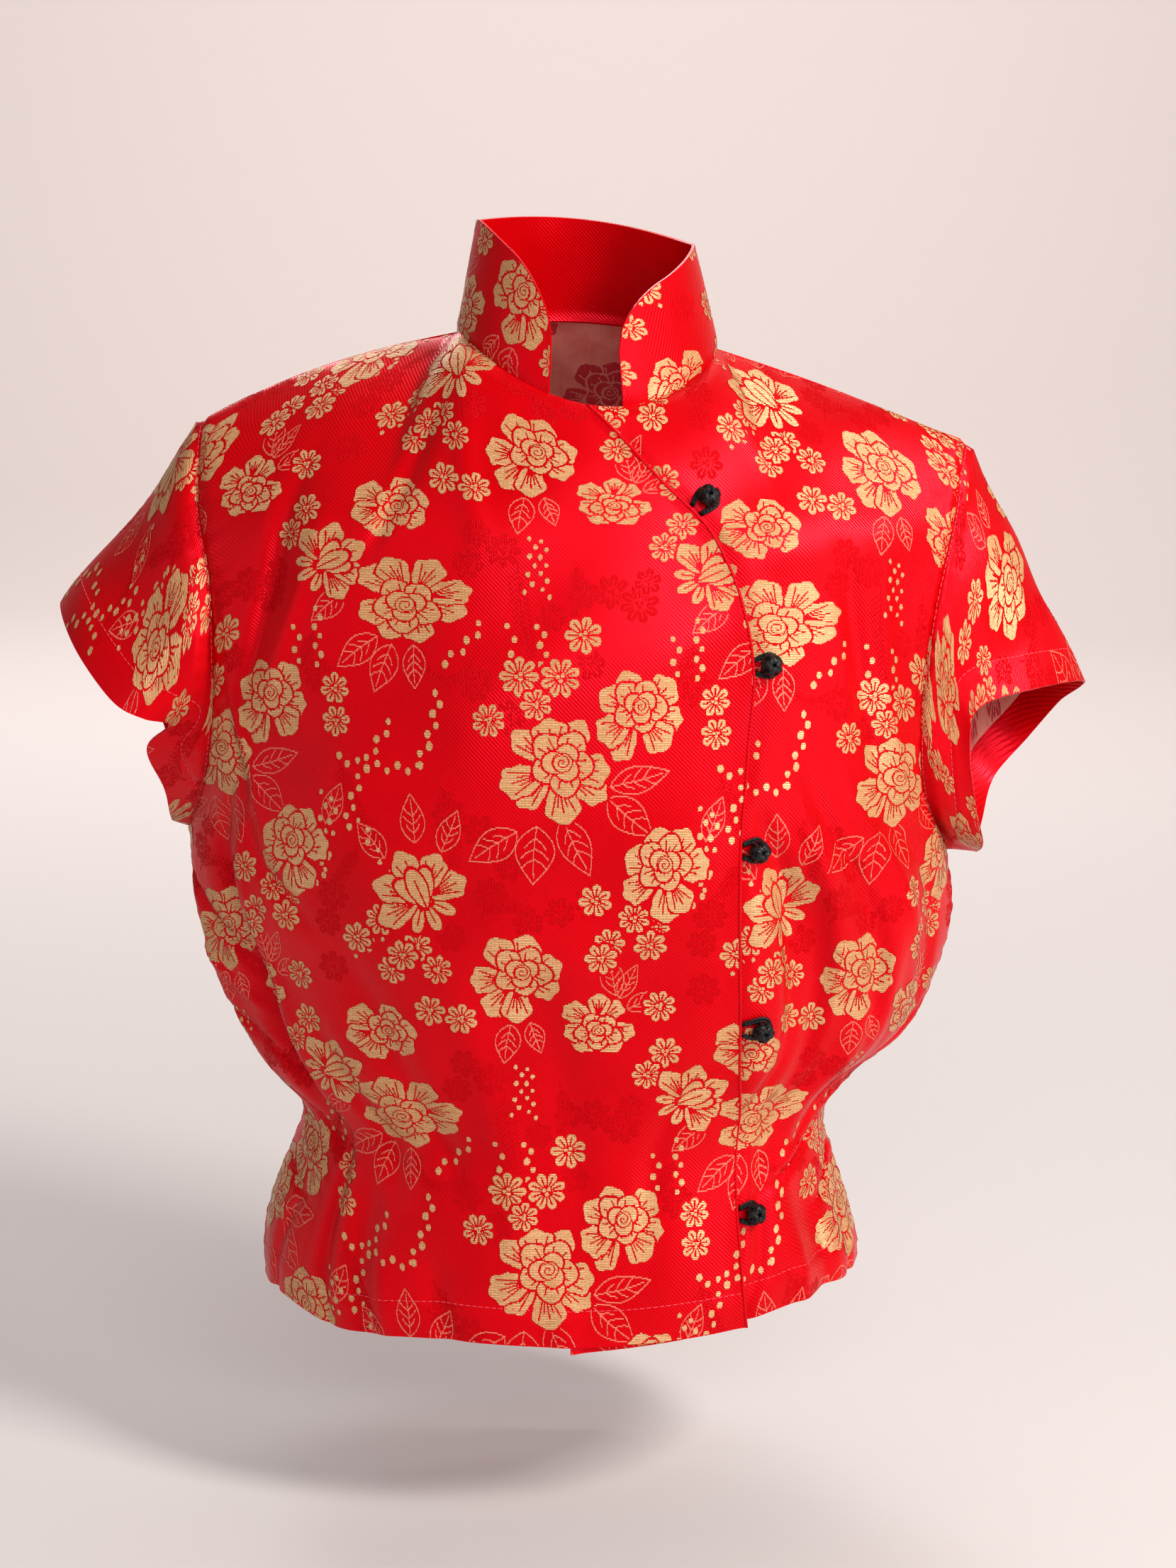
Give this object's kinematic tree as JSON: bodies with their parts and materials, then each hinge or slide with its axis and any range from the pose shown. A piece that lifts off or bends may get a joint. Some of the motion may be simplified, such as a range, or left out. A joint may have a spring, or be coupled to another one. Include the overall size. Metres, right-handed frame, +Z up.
{
  "type": "mandarin collar top",
  "caption": "Waist-length brocade top with a stand collar, cap sleeves and an off-centre lapped front closed by cord knot buttons.",
  "frame": {"origin": "middle of the neck base, level with the inner ends of the shoulder seams, where the wearer's neck and shoulders hold the top", "axes": "+Z up out of the neck, -Y out of the front, -X towards the wearer's right sleeve"},
  "size_m": [0.5618, 0.2422, 0.594],
  "materials": {
    "brocade": "satin ground with gold weft flowers",
    "cord": "wound black cord"
  },
  "bodies": {
    "root": {"right_front": "brocade", "left_front": "brocade", "back": "brocade", "right_sleeve": "brocade", "left_sleeve": "brocade", "collar": "brocade", "knot_1": "cord", "knot_2": "cord", "knot_3": "cord", "knot_4": "cord", "knot_5": "cord", "loop_1": "cord", "loop_2": "cord", "loop_3": "cord", "loop_4": "cord", "loop_5": "cord"}
  },
  "joints": []
}
